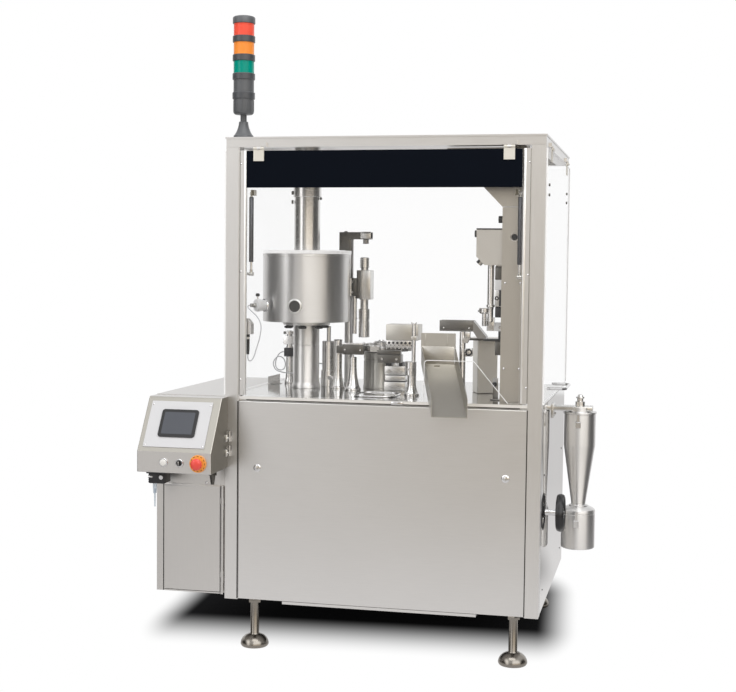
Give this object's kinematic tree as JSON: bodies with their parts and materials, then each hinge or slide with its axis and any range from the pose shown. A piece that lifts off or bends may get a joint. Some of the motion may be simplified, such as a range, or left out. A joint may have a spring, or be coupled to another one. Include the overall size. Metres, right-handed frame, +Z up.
{
  "type": "capsule filler",
  "caption": "Stainless tabletop capsule filling machine with powder hopper, indexing turret, clear lift-up guards, operator console, signal tower and dust cyclone.",
  "frame": {"origin": "middle of the floor area that the whole machine covers, at floor level", "axes": "+X to the right seen from the front, +Y to the back, +Z up"},
  "size_m": [1.515, 1.1914, 2.2128],
  "materials": {
    "satin_stainless": "satin",
    "polished_stainless": "polished",
    "bright_chrome": "polished",
    "clear_acrylic": "clear",
    "dark_plastic": "matte",
    "black_plastic": "matte",
    "header_enamel": "satin",
    "white_plastic": "satin",
    "red_lens": "gloss",
    "orange_lens": "gloss",
    "green_lens": "gloss",
    "red_button": "gloss",
    "screen_glass": "gloss",
    "cable_grey": "matte"
  },
  "bodies": {
    "machine": {"base_cabinet": "satin_stainless", "right_side_panel": "polished_stainless", "worktop": "polished_stainless", "post_left": "satin_stainless", "post_right": "satin_stainless", "roof": "polished_stainless", "foot_front_left": "bright_chrome", "foot_rear_left": "bright_chrome", "foot_front_right": "bright_chrome", "foot_rear_right": "bright_chrome", "electrics_cabinet": "satin_stainless", "tower_base": "dark_plastic", "tower_lens_green": "green_lens", "tower_lens_orange": "orange_lens", "tower_lens_red": "red_lens", "tower_cap": "dark_plastic", "hopper_column": "satin_stainless", "hopper_drum": "polished_stainless", "hopper_lid": "white_plastic", "level_sensor": "white_plastic", "sensor_cable": "cable_grey", "valve_post": "bright_chrome", "air_hose": "cable_grey", "dosing_bridge": "bright_chrome", "dosing_column": "satin_stainless", "turret_housing": "satin_stainless", "discharge_hood": "satin_stainless", "discharge_chute": "satin_stainless", "capsule_tray": "satin_stainless", "feeder_pedestal": "satin_stainless", "duct_column": "satin_stainless", "feeder_head": "satin_stainless", "cyclone": "polished_stainless", "collector_pot": "polished_stainless", "drive_unit": "dark_plastic"},
    "front_guard_body": {"front_guard": "clear_acrylic", "header_band": "header_enamel"},
    "gas_tube_left_body": {"gas_tube_left": "dark_plastic"},
    "gas_tube_right_body": {"gas_tube_right": "dark_plastic"},
    "gas_rod_left_body": {"gas_rod_left": "bright_chrome"},
    "gas_rod_right_body": {"gas_rod_right": "bright_chrome"},
    "right_guard_body": {"right_guard": "clear_acrylic"},
    "left_guard_body": {"left_guard": "clear_acrylic"},
    "rear_guard_body": {"rear_guard": "clear_acrylic"},
    "front_panel_body": {"front_panel": "satin_stainless"},
    "latch_left_body": {"latch_left": "bright_chrome"},
    "latch_right_body": {"latch_right": "bright_chrome"},
    "electrics_door_body": {"electrics_door": "satin_stainless"},
    "console_body": {"console_housing": "satin_stainless", "operator_panel": "white_plastic", "touch_screen": "screen_glass", "air_regulator": "black_plastic"},
    "start_button_body": {"start_button": "white_plastic"},
    "key_switch_body": {"key_switch": "black_plastic"},
    "estop_body": {"estop_button": "red_button"},
    "turret_body": {"turret_table": "bright_chrome"},
    "handwheel_body": {"handwheel": "black_plastic"},
    "dosing_head_body": {"dosing_head": "satin_stainless"},
    "feeder_rod_body": {"feeder_rod": "bright_chrome"},
    "hopper_flap_body": {"hopper_flap": "white_plastic"}
  },
  "joints": [
    {"name": "front_guard_hinge", "type": "hinge", "parent": "machine", "child": "front_guard_body", "pos_m": [0.0475, -0.39775, 1.7505], "axis": [-1, 0, 0], "range_deg": [0, 80]},
    {"name": "gas_tube_left_pivot", "type": "hinge", "parent": "front_guard_body", "child": "gas_tube_left_body", "pos_m": [-0.418, -0.36375, 1.598], "axis": [1, 0, 0], "range_deg": [0, 105.8]},
    {"name": "gas_rod_left_stroke", "type": "slide", "parent": "gas_tube_left_body", "child": "gas_rod_left_body", "axis": [0, 0, -1], "range_m": [0, 0.1335]},
    {"name": "gas_tube_right_pivot", "type": "hinge", "parent": "front_guard_body", "child": "gas_tube_right_body", "pos_m": [0.513, -0.36375, 1.598], "axis": [1, 0, 0], "range_deg": [0, 105.8]},
    {"name": "gas_rod_right_stroke", "type": "slide", "parent": "gas_tube_right_body", "child": "gas_rod_right_body", "axis": [0, 0, -1], "range_m": [0, 0.1335]},
    {"name": "right_guard_hinge", "type": "hinge", "parent": "machine", "child": "right_guard_body", "pos_m": [0.6095, 0.09675, 1.7505], "axis": [0, -1, 0], "range_deg": [0, 80]},
    {"name": "left_guard_hinge", "type": "hinge", "parent": "machine", "child": "left_guard_body", "pos_m": [-0.5145, 0.09675, 1.7505], "axis": [0, 1, 0], "range_deg": [0, 80]},
    {"name": "rear_guard_hinge", "type": "hinge", "parent": "machine", "child": "rear_guard_body", "pos_m": [0.0475, 0.59125, 1.7505], "axis": [1, 0, 0], "range_deg": [0, 80]},
    {"name": "front_panel_tilt", "type": "hinge", "parent": "machine", "child": "front_panel_body", "pos_m": [0.0475, -0.38375, 0.183], "axis": [1, 0, 0], "range_deg": [0, 2]},
    {"name": "latch_left_turn", "type": "hinge", "parent": "front_panel_body", "child": "latch_left_body", "pos_m": [-0.3855, -0.38375, 0.647], "axis": [0, -1, 0], "range_deg": [0, 90]},
    {"name": "latch_right_turn", "type": "hinge", "parent": "front_panel_body", "child": "latch_right_body", "pos_m": [0.4805, -0.38375, 0.647], "axis": [0, -1, 0], "range_deg": [0, 90]},
    {"name": "electrics_door_hinge", "type": "hinge", "parent": "machine", "child": "electrics_door_body", "pos_m": [-0.5088, -0.38975, 0.385], "axis": [0, 0, 1], "range_deg": [0, 110]},
    {"name": "console_swing", "type": "hinge", "parent": "machine", "child": "console_body", "pos_m": [-0.4825, -0.39775, 0.768], "axis": [0, 0, 1], "range_deg": [0, 80]},
    {"name": "start_button_press", "type": "slide", "parent": "console_body", "child": "start_button_body", "axis": [0, 1, 0], "range_m": [0, 0.003], "stiffness_N_per_m": 300},
    {"name": "key_switch_turn", "type": "hinge", "parent": "console_body", "child": "key_switch_body", "pos_m": [-0.604, -0.56575, 0.68], "axis": [0, 1, 0], "range_deg": [0, 90]},
    {"name": "estop_press", "type": "slide", "parent": "console_body", "child": "estop_body", "axis": [0, 1, 0], "range_m": [0, 0.005]},
    {"name": "turret_index", "type": "hinge", "parent": "machine", "child": "turret_body", "pos_m": [-0.0525, 0.10425, 1.036], "axis": [0, 0, 1], "continuous": true},
    {"name": "handwheel_turn", "type": "hinge", "parent": "machine", "child": "handwheel_body", "pos_m": [0.6475, -0.15075, 0.5], "axis": [1, 0, 0], "continuous": true},
    {"name": "dosing_head_slide", "type": "slide", "parent": "machine", "child": "dosing_head_body", "axis": [0, 0, 1], "range_m": [0, 0.04]},
    {"name": "feeder_rod_stroke", "type": "slide", "parent": "machine", "child": "feeder_rod_body", "axis": [0, 0, 1], "range_m": [0, 0.02]},
    {"name": "hopper_flap_hinge", "type": "hinge", "parent": "machine", "child": "hopper_flap_body", "pos_m": [-0.3225, -0.05425, 1.4073], "axis": [-1, 0, 0], "range_deg": [0, 95]}
  ],
  "couplings": [
    {"joint": "gas_tube_left_pivot", "follows": "front_guard_hinge", "ratio": 1.322},
    {"joint": "gas_rod_left_stroke", "follows": "front_guard_hinge", "m_per_rad": 0.0955},
    {"joint": "gas_tube_right_pivot", "follows": "front_guard_hinge", "ratio": 1.322},
    {"joint": "gas_rod_right_stroke", "follows": "front_guard_hinge", "m_per_rad": 0.0955},
    {"joint": "handwheel_turn", "follows": "turret_index", "ratio": 12}
  ]
}
